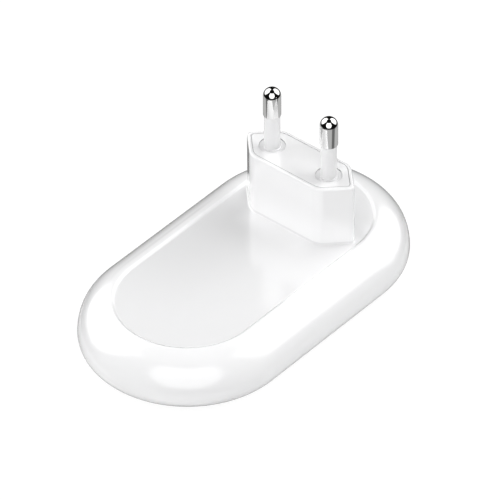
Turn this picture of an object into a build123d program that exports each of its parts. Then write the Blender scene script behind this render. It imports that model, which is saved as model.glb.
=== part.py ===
from build123d import *
from math import acos, cos, degrees, pi, radians, sin, sqrt, tan
import os

# Plug in night light, lying on its front face with the two plug pins up.
# X runs along the line of the pins, Y along the body's long axis, Z up along the pins.
# The origin is the middle of the front face, and all sizes are in millimetres.

# ---- body outline ----
END_ARC_SPACING = 44.6      # between the centres of the body's two round ends
RIM_RADIUS = 28.55          # widest line of the rim, round each end
PLATE_RADIUS = 18.7         # recessed back plate, round each end
LIP_WIDTH = 1.0             # sloping edge between the back plate and the lip's crest
LIP_HEIGHT = 0.5            # crest of the lip above the back plate
CREST_RUN = 0.6             # how far the crest stays level before the rim falls away
BODY_THICKNESS = 14.1       # front face to back plate
WIDEST_HEIGHT = 4.25        # widest line of the rim above the front face
SHOULDER_DROP = 1.7         # sets how full the rim's shoulder is
FRONT_ROUND = 6.3           # rounding between the widest line and the flat front face
PLATE_WALL = 2.0
RIM_WALL = 3.4              # at the widest line

# ---- plug block ----
PIN_SPACING = 19.0
BLOCK_HEIGHT = 18.3         # engagement face above the back plate
BLOCK_WIDTH = 13.7
BLOCK_POINT = 18.2          # middle of the block to the sharp corner of its pointed end
BLOCK_POINT_ROUND = 1.0
BLOCK_SHOULDER_ROUND = 4.5
BLOCK_TOP_ROUND = 0.6
BLOCK_FOOT_ROUND = 0.5
BLOCK_WALL = 1.95

# ---- plug cap ----
CAP_INSET = 1.08            # edge of the cap inside the block's outline
CAP_THICKNESS = 2.6
CAP_SEAM = 0.1              # gap round the cap
CAP_SHOULDER_ROUND = 3.5
CAP_POINT_ROUND = 0.9

# ---- pins ----
PIN_LENGTH = 18.6           # beyond the engagement face
PIN_DIAMETER = 4.75
PIN_METAL_LENGTH = 8.5      # bare metal, with its domed end
SLEEVE_DIAMETER = 4.25
SHANK_DIAMETER = 3.2        # pin inside its sleeve
FOOT_DIAMETER = 5.0         # flared foot of the sleeve
FOOT_HEIGHT = 0.2
FOOT_POCKET_DIAMETER = 6.9  # ring sunk in the cap round the foot
FOOT_POCKET_DEPTH = 0.35
COLLAR_DIAMETER = 5.8       # keeps the pin from being pulled out of the cap
COLLAR_THICKNESS = 1.2
TAIL_LENGTH = 5.0
TAIL_WIDTH = 2.6
TAIL_THICKNESS = 1.2

# ---- front diffuser ----
DIFFUSER_WALL = 1.8
DIFFUSER_FLANGE = 0.95      # how far its edge reaches under the housing's wall
DIFFUSER_SEAT_HEIGHT = 2.2
DIFFUSER_SEAM = 0.1
SKIRT_WALL = 1.2
SKIRT_HEIGHT = 3.0
SNAP_BEAD = 0.35
SNAP_HEIGHT = 0.8
SNAP_LEVEL = 1.4            # bead above the seat
FIT_CLEARANCE = 0.15

# ---- lamp board ----
BOARD_LEVEL = 6.0           # lamp side of the board above the front face
BOARD_THICKNESS = 1.2
BOARD_EDGE_GAP = 3.35       # board's edge inside the housing's wall
LED_COUNT = 10
LED_WIDTH = 2.8
LED_LENGTH = 3.5
LED_HEIGHT = 0.7
LED_WALL = 0.3
LED_POCKET_DEPTH = 0.4

# ---- board screws ----
POST_DIAMETER = 6.0
POST_FROM_EDGE = 4.5        # post centre inside the board's edge
SCREW_DIAMETER = 2.2
SCREW_LENGTH = 5.6
SCREW_HEAD_DIAMETER = 4.0
SCREW_HEAD_HEIGHT = 1.3
SCREW_RECESS_WIDTH = 0.6
SCREW_RECESS_DEPTH = 0.8
SCREW_HOLE_CLEARANCE = 0.4
SCREW_TO_LED = 1.1          # between a screw's head and the ring of light sources

# ---- light sensor ----
SENSOR_DIAMETER = 3.0
SENSOR_HEIGHT = 3.0
SENSOR_RIM_DIAMETER = 3.8
SENSOR_RIM_HEIGHT = 0.8
WINDOW_DIAMETER = 5.0
WINDOW_FLANGE = 1.0
WINDOW_FLANGE_THICKNESS = 0.6
TUBE_WALL = 0.8

# ---- parts on the board ----
LEAD_DIAMETER = 0.6
LEAD_HOLE_DIAMETER = 0.9
LEAD_STUB = 0.6             # lead beyond the lamp side of the board
STAND_OFF = 0.2
DROPPER_LENGTH = 10.0
DROPPER_WIDTH = 5.0
DROPPER_HEIGHT = 9.0
DROPPER_PITCH = 7.5
DROPPER_OFFSET = -2.6       # along X from the middle of the block
SMOOTHING_DIAMETER = 5.0
SMOOTHING_HEIGHT = 11.0
SMOOTHING_PITCH = 2.0
SMOOTHING_GAP = 0.4         # between the two capacitors
FUSE_DIAMETER = 2.4
FUSE_LENGTH = 6.5
FUSE_PITCH = 10.0
BLEED_DIAMETER = 1.8
BLEED_LENGTH = 3.6
BLEED_PITCH = 7.0
VARISTOR_DIAMETER = 7.0
VARISTOR_THICKNESS = 3.4
VARISTOR_PITCH = 5.0
BRIDGE_LENGTH = 4.7
BRIDGE_WIDTH = 3.9
BRIDGE_HEIGHT = 1.5
BRIDGE_PITCH = 2.54
CHIP_LENGTH = 4.9
CHIP_WIDTH = 3.9
CHIP_HEIGHT = 1.4
CHIP_PITCH = 1.27
LEG_LENGTH = 1.0
LEG_WIDTH = 0.45
LEG_THICKNESS = 0.2
RESISTOR_COUNT = 6
RESISTOR_LENGTH = 3.2
RESISTOR_WIDTH = 1.6
RESISTOR_HEIGHT = 0.55
RESISTOR_SPACING = 3.4
RESISTOR_END = 0.45
PART_ROW_STEP = 9.0         # between the rows of parts along the board
FUSE_ROW = 0.5              # rows of parts, counted from the plug block
BLEED_ROW = 1.2
BRIDGE_ROW = 1.4
CHIP_ROW = 2.4
RESISTOR_ROW = 3.4
BRIDGE_LEGS_PER_SIDE = 2
CHIP_LEGS_PER_SIDE = 4
WAIST_SHARE = 0.88          # waist of a lying resistor, of its ends' radius
RESISTOR_TOP_SHARE = 0.15   # raised middle of a flat resistor, of its height

# ---- wires ----
WIRE_DIAMETER = 1.5
CORE_DIAMETER = 0.6
WIRE_GRIP = 3.0             # wire lying along the pin's tail
WIRE_BULGE = 1.5
SOLDER_DIAMETER = 2.0
SOLDER_HEIGHT = 0.6

# ---- worked out from the sizes above ----
PLUG_Y = END_ARC_SPACING / 2
FACE_LEVEL = BODY_THICKNESS + BLOCK_HEIGHT
TIP_LEVEL = FACE_LEVEL + PIN_LENGTH
CAP_UNDERSIDE = FACE_LEVEL - CAP_THICKNESS
PLATE_UNDERSIDE = BODY_THICKNESS - PLATE_WALL
CAVITY_RADIUS = RIM_RADIUS - RIM_WALL
SEAT_RADIUS = CAVITY_RADIUS + DIFFUSER_FLANGE
BOARD_RADIUS = CAVITY_RADIUS - BOARD_EDGE_GAP
POST_RADIUS = BOARD_RADIUS - POST_FROM_EDGE
LED_RING_RADIUS = POST_RADIUS - (SCREW_HEAD_DIAMETER + LED_WIDTH) / 2 - SCREW_TO_LED
BOARD_TOP = BOARD_LEVEL + BOARD_THICKNESS
SCREW_ENGAGEMENT = SCREW_LENGTH - BOARD_THICKNESS
PIN_X = PIN_SPACING / 2
COLLAR_UNDERSIDE = CAP_UNDERSIDE - COLLAR_THICKNESS
TAIL_END = COLLAR_UNDERSIDE - TAIL_LENGTH
FRONT_ROUND_CENTRE = RIM_RADIUS - FRONT_ROUND


def ring_point(angle):
    """Point of the rounding below the widest line, by its angle under the horizontal."""
    across = FRONT_ROUND_CENTRE + FRONT_ROUND * cos(angle)
    return across, WIDEST_HEIGHT * (1 - sin(angle))


def rounding_angle(radius):
    """Angle under the horizontal at which the front rounding reaches a radius."""
    return acos((radius - FRONT_ROUND_CENTRE) / FRONT_ROUND)


def front_rounding(start_angle, end_angle):
    """Part of the front rounding as an edge, angles in radians under the horizontal."""
    return EllipticalCenterArc(
        (FRONT_ROUND_CENTRE, WIDEST_HEIGHT),
        FRONT_ROUND,
        WIDEST_HEIGHT,
        start_angle=-degrees(end_angle),
        arc_size=degrees(end_angle - start_angle),
    )


def carry_round(section):
    """Carry a section of (radius, height) once round the body's stadium outline."""
    face = Plane.XZ * section
    side = extrude(face, amount=END_ARC_SPACING / 2, both=True)
    end = Pos(0, END_ARC_SPACING / 2, 0) * revolve(face, Axis.Z, 180)
    half = side + end
    return half + Rot(0, 0, 180) * half


def stadium(radius):
    """Flat outline with round ends, parallel to the body's own."""
    return SlotCenterToCenter(END_ARC_SPACING, 2 * radius, rotation=90)


def slab(outline, low, high):
    """Solid between two heights over a flat outline."""
    return Pos(0, 0, low) * extrude(outline, amount=high - low)


def post(x, y, diameter, low, high):
    """Upright round solid between two heights."""
    return Pos(x, y, low) * extrude(Circle(diameter / 2), amount=high - low)


def pointed_hexagon(inset, point_round, shoulder_round):
    """Plug outline: two long sides, and ends that come to a right-angled point."""
    half_width = BLOCK_WIDTH / 2 - inset
    point = BLOCK_POINT - inset * sqrt(2)
    shoulder = point - half_width
    corners = [
        (point, 0),
        (shoulder, half_width),
        (-shoulder, half_width),
        (-point, 0),
        (-shoulder, -half_width),
        (shoulder, -half_width),
    ]
    outline = make_face(Polyline(*corners, close=True))
    points = outline.vertices().filter_by(lambda v: abs(v.Y) < half_width / 2)
    outline = fillet(points, point_round)
    shoulders = outline.vertices().filter_by(lambda v: abs(abs(v.Y) - half_width) < 1e-6)
    return fillet(shoulders, shoulder_round)


def at_plug(shape):
    """Move a shape from the origin to the middle of the plug block."""
    return Pos(0, PLUG_Y, 0) * shape


def save(name, shape):
    """Write one sub-part as a STEP file named after its node."""
    shape.label = name
    export_step(shape, f"parts/{name}.step")


# ---- housing and covers ----

def housing_section():
    """Rim, lip and back plate, open towards the front."""
    crest_radius = PLATE_RADIUS + LIP_WIDTH
    crest_level = BODY_THICKNESS + LIP_HEIGHT
    shoulder_level = crest_level - SHOULDER_DROP
    split = rounding_angle(SEAT_RADIUS)
    split_point = ring_point(split)
    groove_low = DIFFUSER_SEAT_HEIGHT + SNAP_LEVEL - FIT_CLEARANCE
    groove_high = groove_low + SNAP_HEIGHT + 2 * FIT_CLEARANCE
    groove_radius = CAVITY_RADIUS + SNAP_BEAD
    lip = Bezier(
        (PLATE_RADIUS, BODY_THICKNESS),
        (PLATE_RADIUS + LIP_WIDTH / 3, BODY_THICKNESS),
        (crest_radius - LIP_WIDTH / 3, crest_level),
        (crest_radius, crest_level),
    )
    shoulder = Bezier(
        (crest_radius, crest_level),
        (crest_radius + CREST_RUN, crest_level),
        (RIM_RADIUS, shoulder_level),
        (RIM_RADIUS, WIDEST_HEIGHT),
    )
    ceiling = Bezier(
        (CAVITY_RADIUS, groove_high),
        (CAVITY_RADIUS, shoulder_level - PLATE_WALL),
        (PLATE_RADIUS + LIP_WIDTH, PLATE_UNDERSIDE),
        (PLATE_RADIUS, PLATE_UNDERSIDE),
    )
    edges = [
        Line((0, BODY_THICKNESS), (PLATE_RADIUS, BODY_THICKNESS)),
        lip,
        shoulder,
        front_rounding(0, split),
        Polyline(
            split_point,
            (SEAT_RADIUS, DIFFUSER_SEAT_HEIGHT),
            (CAVITY_RADIUS, DIFFUSER_SEAT_HEIGHT),
            (CAVITY_RADIUS, groove_low),
            (groove_radius, groove_low + FIT_CLEARANCE),
            (groove_radius, groove_high - FIT_CLEARANCE),
            (CAVITY_RADIUS, groove_high),
        ),
        ceiling,
        Polyline((PLATE_RADIUS, PLATE_UNDERSIDE), (0, PLATE_UNDERSIDE), (0, BODY_THICKNESS)),
    ]
    return make_face(edges)


def post_places():
    """Centres of the four posts that carry the lamp board."""
    along = END_ARC_SPACING / 2 + POST_RADIUS
    return [(0, along), (0, -along), (POST_RADIUS, 0), (-POST_RADIUS, 0)]


def rear_housing():
    """Back plate, rim and hollow plug block in one moulding, with the board posts."""
    outline = pointed_hexagon(0, BLOCK_POINT_ROUND, BLOCK_SHOULDER_ROUND)
    inside = pointed_hexagon(BLOCK_WALL, BLOCK_POINT_ROUND / 2, BLOCK_SHOULDER_ROUND / 2)
    cap_pocket = pointed_hexagon(CAP_INSET - CAP_SEAM, CAP_POINT_ROUND, CAP_SHOULDER_ROUND)
    block = slab(outline, PLATE_UNDERSIDE, FACE_LEVEL)
    block = fillet(block.faces().sort_by(Axis.Z)[-1].edges(), BLOCK_TOP_ROUND)
    shell = carry_round(housing_section()) + at_plug(block)
    foot = [
        edge for edge in shell.edges().filter_by(Plane.XY)
        if abs(edge.center().Z - BODY_THICKNESS) < 1e-4
        and abs(edge.center().Y - PLUG_Y) < BLOCK_WIDTH / 2 + 1e-3
        and abs(edge.center().X) < BLOCK_POINT
        and edge.length < 2 * BLOCK_POINT
        and max(abs(vertex.X) for vertex in edge.vertices()) < BLOCK_POINT
    ]
    shell = fillet(foot, BLOCK_FOOT_ROUND)
    for x, y in post_places():
        shell += post(x, y, POST_DIAMETER, BOARD_TOP, PLATE_UNDERSIDE + PLATE_WALL / 4)
    shell -= at_plug(slab(inside, 0, FACE_LEVEL))
    shell -= at_plug(slab(cap_pocket, CAP_UNDERSIDE, TIP_LEVEL))
    for x, y in post_places():
        shell -= post(x, y, SCREW_DIAMETER, BOARD_LEVEL, BOARD_TOP + SCREW_ENGAGEMENT)
    return shell


def plug_cap():
    """Insulating plate in the end of the block that holds the two pins."""
    outline = pointed_hexagon(CAP_INSET, CAP_POINT_ROUND, CAP_SHOULDER_ROUND)
    cap = slab(outline, CAP_UNDERSIDE, FACE_LEVEL)
    for side in (-1, 1):
        pocket_floor = FACE_LEVEL - FOOT_POCKET_DEPTH
        cap -= post(side * PIN_X, 0, FOOT_POCKET_DIAMETER, pocket_floor, TIP_LEVEL)
        cap -= post(side * PIN_X, 0, SLEEVE_DIAMETER, 0, TIP_LEVEL)
    return at_plug(cap)


def front_diffuser():
    """Milky front cover that snaps into the housing and closes it."""
    edge_radius = SEAT_RADIUS - DIFFUSER_SEAM
    skirt_radius = CAVITY_RADIUS - FIT_CLEARANCE
    seat = DIFFUSER_SEAT_HEIGHT - DIFFUSER_SEAM / 2
    bead_low = DIFFUSER_SEAT_HEIGHT + SNAP_LEVEL
    bead_high = bead_low + SNAP_HEIGHT
    skirt_top = DIFFUSER_SEAT_HEIGHT + SKIRT_HEIGHT
    bead_radius = skirt_radius + SNAP_BEAD
    split = rounding_angle(edge_radius)
    edges = [
        front_rounding(split, pi / 2),
        Polyline(
            ring_point(split),
            (edge_radius, seat),
            (skirt_radius, seat),
            (skirt_radius, bead_low),
            (bead_radius, bead_low + SNAP_HEIGHT / 3),
            (bead_radius, bead_high - SNAP_HEIGHT / 3),
            (skirt_radius, bead_high),
            (skirt_radius, skirt_top),
            (skirt_radius - SKIRT_WALL, skirt_top),
            (skirt_radius - SKIRT_WALL, DIFFUSER_WALL),
            (0, DIFFUSER_WALL),
            (0, 0),
            (FRONT_ROUND_CENTRE, 0),
        ),
    ]
    return carry_round(make_face(edges)) - post(0, 0, WINDOW_DIAMETER, 0, DIFFUSER_WALL)


def sensor_window():
    """Clear window in the middle of the front cover, flanged on its inner side."""
    flange_top = DIFFUSER_WALL + WINDOW_FLANGE_THICKNESS
    flange = post(0, 0, WINDOW_DIAMETER + 2 * WINDOW_FLANGE, DIFFUSER_WALL, flange_top)
    return post(0, 0, WINDOW_DIAMETER, 0, DIFFUSER_WALL) + flange


# ---- pins ----

def pin():
    """Metal pin: domed bare end, thin shank, collar under the cap and flat tail."""
    radius = PIN_DIAMETER / 2
    metal_foot = TIP_LEVEL - PIN_METAL_LENGTH
    dome_centre = TIP_LEVEL - radius
    profile = [
        Line((0, COLLAR_UNDERSIDE), (0, TIP_LEVEL)),
        RadiusArc((0, TIP_LEVEL), (radius, dome_centre), radius),
        Polyline(
            (radius, dome_centre),
            (radius, metal_foot),
            (SHANK_DIAMETER / 2, metal_foot),
            (SHANK_DIAMETER / 2, CAP_UNDERSIDE),
            (COLLAR_DIAMETER / 2, CAP_UNDERSIDE),
            (COLLAR_DIAMETER / 2, COLLAR_UNDERSIDE),
            (0, COLLAR_UNDERSIDE),
        ),
    ]
    body = revolve(Plane.XZ * make_face(profile), Axis.Z)
    tail = slab(Rectangle(TAIL_WIDTH, TAIL_THICKNESS), TAIL_END, COLLAR_UNDERSIDE)
    return body + tail


def pin_sleeve():
    """Insulating sleeve round the shank, with a flared foot in the cap's pocket."""
    metal_foot = TIP_LEVEL - PIN_METAL_LENGTH
    pocket_floor = FACE_LEVEL - FOOT_POCKET_DEPTH
    foot_top = pocket_floor + FOOT_HEIGHT
    flare = (FOOT_DIAMETER - SLEEVE_DIAMETER) / 2
    profile = [
        Polyline(
            (SLEEVE_DIAMETER / 2, foot_top + flare),
            (SLEEVE_DIAMETER / 2, metal_foot),
            (SHANK_DIAMETER / 2, metal_foot),
            (SHANK_DIAMETER / 2, CAP_UNDERSIDE),
            (SLEEVE_DIAMETER / 2, CAP_UNDERSIDE),
            (SLEEVE_DIAMETER / 2, pocket_floor),
            (FOOT_DIAMETER / 2, pocket_floor),
            (FOOT_DIAMETER / 2, foot_top),
        ),
        Bezier(
            (FOOT_DIAMETER / 2, foot_top),
            (SLEEVE_DIAMETER / 2, foot_top),
            (SLEEVE_DIAMETER / 2, foot_top + flare),
        ),
    ]
    return revolve(Plane.XZ * make_face(profile), Axis.Z)


def wire_points(side):
    """Route of one lead from the pin's tail to its pad on the board."""
    beside_tail = PLUG_Y + (TAIL_THICKNESS + WIRE_DIAMETER) / 2
    grip_top = TAIL_END + WIRE_GRIP
    middle = (TAIL_END + BOARD_TOP) / 2
    quarter = (TAIL_END - BOARD_TOP) / 4
    return [
        (side * PIN_X, beside_tail, grip_top),
        (side * PIN_X, beside_tail, TAIL_END - quarter / 2),
        (side * (PIN_X + WIRE_BULGE), beside_tail + WIRE_BULGE / 2, middle),
        (side * PIN_X, PLUG_Y, BOARD_TOP + quarter),
        (side * PIN_X, PLUG_Y, BOARD_TOP),
    ]


def tangent_radii(points):
    """Largest gentle arc for each corner of a route."""
    places = [Vector(*point) for point in points]
    radii = []
    for before, corner, after in zip(places, places[1:], places[2:]):
        run = min((corner - before).length, (after - corner).length)
        turn = radians((corner - before).get_angle(after - corner))
        radii.append(0.45 * run / tan(turn / 2))
    return radii


def wire(side):
    """Insulated lead, with its bare core through the board."""
    points = wire_points(side)
    path = FilletPolyline(*points, radius=tangent_radii(points))
    section = Plane(origin=path @ 0, z_dir=path % 0) * Circle(WIRE_DIAMETER / 2)
    return sweep(section, path=path) + board_lead(side * PIN_X, PLUG_Y, CORE_DIAMETER)


def solder_joints():
    """Solder on the lamp side of the board, one dome at each lead."""
    joints = []
    for x, y, diameter in board_leads():
        dome = Pos(x, y, BOARD_LEVEL) * Cone(
            SOLDER_DIAMETER / 2, diameter, SOLDER_HEIGHT, rotation=(180, 0, 0),
            align=(Align.CENTER, Align.CENTER, Align.MIN),
        )
        lead = post(x, y, diameter, BOARD_LEVEL - SOLDER_HEIGHT, BOARD_LEVEL)
        joints.append(dome - lead)
    return Compound(children=joints)


# ---- lamp board ----

def led_places():
    """Place and heading of each light source, evenly spaced round the board."""
    half = END_ARC_SPACING / 2
    radius = LED_RING_RADIUS
    ring = Wire([
        Line((radius, 0), (radius, half)),
        CenterArc((0, half), radius, 0, 180),
        Line((-radius, half), (-radius, -half)),
        CenterArc((0, -half), radius, 180, 180),
        Line((radius, -half), (radius, 0)),
    ])
    places = []
    for index in range(LED_COUNT):
        place = ring.position_at(index / LED_COUNT)
        heading = ring.tangent_at(index / LED_COUNT)
        turn = Vector(0, 1, 0).get_signed_angle(heading, Vector(0, 0, 1))
        places.append(Pos(place.X, place.Y, 0) * Rot(0, 0, turn))
    return places


def board_lead(x, y, diameter):
    """Lead that passes through the board and stands out on its lamp side."""
    return post(x, y, diameter, BOARD_LEVEL - LEAD_STUB, BOARD_TOP)


def lead_pair(centre, pitch, across=True):
    """Two lead positions about a centre, along X or along Y."""
    x, y = centre
    if across:
        return [(x - pitch / 2, y), (x + pitch / 2, y)]
    return [(x, y - pitch / 2), (x, y + pitch / 2)]


def part_place(row, x):
    """Place on the rear side of the board, counted in rows from the plug block."""
    first = PLUG_Y - BLOCK_WIDTH / 2
    return x, first - row * PART_ROW_STEP


DROPPER_PLACE = (DROPPER_OFFSET, PLUG_Y)
SMOOTHING_PLACE = (
    DROPPER_OFFSET + (DROPPER_LENGTH + SMOOTHING_DIAMETER) / 2 + SMOOTHING_GAP, PLUG_Y)
FUSE_PLACE = part_place(FUSE_ROW, -LED_RING_RADIUS / 2)
VARISTOR_PLACE = part_place(FUSE_ROW, LED_RING_RADIUS / 2)
BLEED_PLACE = part_place(BLEED_ROW, -LED_RING_RADIUS / 2)
BRIDGE_PLACE = part_place(BRIDGE_ROW, LED_RING_RADIUS / 2)
CHIP_PLACE = part_place(CHIP_ROW, LED_RING_RADIUS / 2)
RESISTOR_PLACE = part_place(RESISTOR_ROW, 0)


def board_leads():
    """Every lead through the board, as (x, y, diameter)."""
    wires = [(side * PIN_X, PLUG_Y, CORE_DIAMETER) for side in (-1, 1)]
    pairs = (
        lead_pair(DROPPER_PLACE, DROPPER_PITCH)
        + lead_pair(SMOOTHING_PLACE, SMOOTHING_PITCH)
        + lead_pair(FUSE_PLACE, FUSE_PITCH)
        + lead_pair(BLEED_PLACE, BLEED_PITCH)
        + lead_pair(VARISTOR_PLACE, VARISTOR_PITCH)
    )
    return wires + [(x, y, LEAD_DIAMETER) for x, y in pairs]


def led_board():
    """Circuit board that carries the light sources in front and the supply behind."""
    board = slab(stadium(BOARD_RADIUS), BOARD_LEVEL, BOARD_TOP)
    for x, y in post_places():
        board -= post(x, y, SCREW_DIAMETER + SCREW_HOLE_CLEARANCE, BOARD_LEVEL, BOARD_TOP)
    for x, y, diameter in board_leads():
        hole = diameter + LEAD_HOLE_DIAMETER - LEAD_DIAMETER
        board -= post(x, y, hole, BOARD_LEVEL, BOARD_TOP)
    return board


def leds():
    """White light-source packages, each with a shallow dish."""
    low = BOARD_LEVEL - LED_HEIGHT
    dish = Rectangle(LED_WIDTH - 2 * LED_WALL, LED_LENGTH - 2 * LED_WALL)
    package = slab(Rectangle(LED_WIDTH, LED_LENGTH), low, BOARD_LEVEL)
    package -= slab(dish, low, low + LED_POCKET_DEPTH)
    return Compound(children=[place * package for place in led_places()])


def led_phosphors():
    """Yellow phosphor fill in the dish of each light source."""
    low = BOARD_LEVEL - LED_HEIGHT
    dish = Rectangle(LED_WIDTH - 2 * LED_WALL, LED_LENGTH - 2 * LED_WALL)
    fill = slab(dish, low, low + LED_POCKET_DEPTH)
    return Compound(children=[place * fill for place in led_places()])


def board_screws():
    """Self-tapping cross-head screws that hold the board to its posts."""
    screws = []
    for x, y in post_places():
        head_low = BOARD_LEVEL - SCREW_HEAD_HEIGHT
        head = post(0, 0, SCREW_HEAD_DIAMETER, head_low, BOARD_LEVEL)
        head = fillet(head.edges().sort_by(Axis.Z)[0], SCREW_HEAD_HEIGHT / 2)
        arm = Rectangle(SCREW_HEAD_DIAMETER / 2, SCREW_RECESS_WIDTH)
        cross = arm + Rot(0, 0, 90) * arm
        head -= slab(cross, head_low, head_low + SCREW_RECESS_DEPTH)
        shank = post(0, 0, SCREW_DIAMETER, BOARD_LEVEL, BOARD_LEVEL + SCREW_LENGTH)
        screws.append(Pos(x, y, 0) * (head + shank))
    return Compound(children=screws)


# ---- light sensor ----

def light_sensor():
    """Domed sensor on the lamp side of the board, looking out of the front."""
    rim_low = BOARD_LEVEL - SENSOR_RIM_HEIGHT
    dome_centre = BOARD_LEVEL - SENSOR_HEIGHT + SENSOR_DIAMETER / 2
    rim = post(0, 0, SENSOR_RIM_DIAMETER, rim_low, BOARD_LEVEL)
    stem = post(0, 0, SENSOR_DIAMETER, dome_centre, BOARD_LEVEL)
    return rim + stem + Pos(0, 0, dome_centre) * Sphere(SENSOR_DIAMETER / 2)


def sensor_tube():
    """Black tube that keeps the lamp's own light off the sensor."""
    low = DIFFUSER_WALL + WINDOW_FLANGE_THICKNESS
    outside = WINDOW_DIAMETER + 2 * WINDOW_FLANGE
    tube = post(0, 0, outside, low, BOARD_LEVEL)
    return tube - post(0, 0, outside - 2 * TUBE_WALL, low, BOARD_LEVEL)


# ---- supply parts behind the board ----

def dropper_capacitor():
    """Box film capacitor that drops the mains voltage."""
    low = BOARD_TOP + STAND_OFF
    body = slab(Rectangle(DROPPER_LENGTH, DROPPER_WIDTH), low, low + DROPPER_HEIGHT)
    body = Pos(*DROPPER_PLACE, 0) * fillet(body.edges().filter_by(Axis.Z), DROPPER_WIDTH / 10)
    for x, y in lead_pair(DROPPER_PLACE, DROPPER_PITCH):
        body += post(x, y, LEAD_DIAMETER, BOARD_LEVEL - LEAD_STUB, low)
    return body


def smoothing_capacitor():
    """Upright round capacitor with a crimp groove above its base."""
    radius = SMOOTHING_DIAMETER / 2
    low = BOARD_TOP + STAND_OFF
    can = post(0, 0, SMOOTHING_DIAMETER, low, low + SMOOTHING_HEIGHT)
    can = fillet(can.edges().filter_by(GeomType.CIRCLE), SMOOTHING_DIAMETER / 10)
    groove = Pos(0, 0, low + radius / 2) * Torus(radius + radius / 10, radius / 5)
    can = Pos(*SMOOTHING_PLACE, 0) * (can - groove)
    for x, y in lead_pair(SMOOTHING_PLACE, SMOOTHING_PITCH):
        can += post(x, y, LEAD_DIAMETER, BOARD_LEVEL - LEAD_STUB, low)
    return can


def axial_part(place, diameter, length, pitch):
    """Lying part with waisted body and leads bent down into the board."""
    x, y = place
    radius = diameter / 2
    axis_level = BOARD_TOP + STAND_OFF + radius
    cap = length / 5
    waist = radius * WAIST_SHARE
    waist_end = length / 2 - cap - radius / 3
    profile = Polyline(
        (0, -length / 2),
        (radius, -length / 2),
        (radius, -length / 2 + cap),
        (waist, -waist_end),
        (waist, waist_end),
        (radius, length / 2 - cap),
        (radius, length / 2),
        (0, length / 2),
        close=True,
    )
    body = Rot(0, 90, 0) * revolve(Plane.XZ * make_face(profile), Axis.Z)
    route = FilletPolyline(
        (-pitch / 2, 0, BOARD_LEVEL - LEAD_STUB - axis_level),
        (-pitch / 2, 0, 0),
        (pitch / 2, 0, 0),
        (pitch / 2, 0, BOARD_LEVEL - LEAD_STUB - axis_level),
        radius=LEAD_DIAMETER,
    )
    section = Plane(origin=route @ 0, z_dir=route % 0) * Circle(LEAD_DIAMETER / 2)
    return Pos(x, y, axis_level) * (body + sweep(section, path=route))


def fuse_resistor():
    """Fusible resistor in the live lead."""
    return axial_part(FUSE_PLACE, FUSE_DIAMETER, FUSE_LENGTH, FUSE_PITCH)


def bleed_resistor():
    """Resistor that empties the film capacitor when the lamp is unplugged."""
    return axial_part(BLEED_PLACE, BLEED_DIAMETER, BLEED_LENGTH, BLEED_PITCH)


def varistor():
    """Lying surge-absorbing disc with its leads into the board."""
    x, y = VARISTOR_PLACE
    low = BOARD_TOP + STAND_OFF
    disc = post(x, y, VARISTOR_DIAMETER, low, low + VARISTOR_THICKNESS)
    disc = fillet(disc.edges().filter_by(GeomType.CIRCLE), VARISTOR_THICKNESS / 3)
    for lead_x, lead_y in lead_pair(VARISTOR_PLACE, VARISTOR_PITCH):
        disc += post(lead_x, lead_y, LEAD_DIAMETER, BOARD_LEVEL - LEAD_STUB, low + LEAD_DIAMETER)
    return disc


def legged_chip(place, length, width, height, pitch, legs):
    """Moulded package lying on the board with a row of legs along each long side."""
    x, y = place
    body = slab(Rectangle(width, length), STAND_OFF, STAND_OFF + height)
    body = chamfer(body.faces().sort_by(Axis.Z)[-1].edges(), height / 6)
    reach = width / 2 + LEG_LENGTH
    for side in (-1, 1):
        for index in range(legs):
            along = (index - (legs - 1) / 2) * pitch
            arm_middle = side * (width / 2 + reach - LEG_LENGTH / 2) / 2
            arm = slab(Rectangle(LEG_LENGTH / 2, LEG_WIDTH), STAND_OFF + height / 3,
                       STAND_OFF + height / 3 + LEG_THICKNESS)
            shin = slab(Rectangle(LEG_THICKNESS, LEG_WIDTH), 0,
                        STAND_OFF + height / 3 + LEG_THICKNESS)
            toe = slab(Rectangle(LEG_LENGTH / 2, LEG_WIDTH), 0, LEG_THICKNESS)
            knee = side * (reach - LEG_LENGTH / 2)
            leg = Pos(arm_middle, along, 0) * arm
            leg += Pos(knee - side * LEG_THICKNESS / 2, along, 0) * shin
            leg += Pos(knee + side * (LEG_LENGTH / 4 - LEG_THICKNESS / 2), along, 0) * toe
            body += leg
    return Pos(x, y, BOARD_TOP) * body


def bridge_rectifier():
    """Flat bridge rectifier with four legs."""
    return legged_chip(BRIDGE_PLACE, BRIDGE_LENGTH, BRIDGE_WIDTH, BRIDGE_HEIGHT,
                       BRIDGE_PITCH, BRIDGE_LEGS_PER_SIDE)


def driver_chip():
    """Eight-legged chip that switches the light sources by the sensor."""
    return legged_chip(CHIP_PLACE, CHIP_LENGTH, CHIP_WIDTH, CHIP_HEIGHT,
                       CHIP_PITCH, CHIP_LEGS_PER_SIDE)


def board_resistors():
    """Row of flat resistors, each with a raised middle between its end caps."""
    x, y = RESISTOR_PLACE
    resistors = []
    for index in range(RESISTOR_COUNT):
        along = x + (index - (RESISTOR_COUNT - 1) / 2) * RESISTOR_SPACING
        body = slab(Rectangle(RESISTOR_WIDTH, RESISTOR_LENGTH), 0, RESISTOR_HEIGHT)
        middle = Rectangle(RESISTOR_WIDTH, RESISTOR_LENGTH - 2 * RESISTOR_END)
        body += slab(middle, RESISTOR_HEIGHT, RESISTOR_HEIGHT * (1 + RESISTOR_TOP_SHARE))
        resistors.append(Pos(along, y, BOARD_TOP) * body)
    return Compound(children=resistors)


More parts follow.
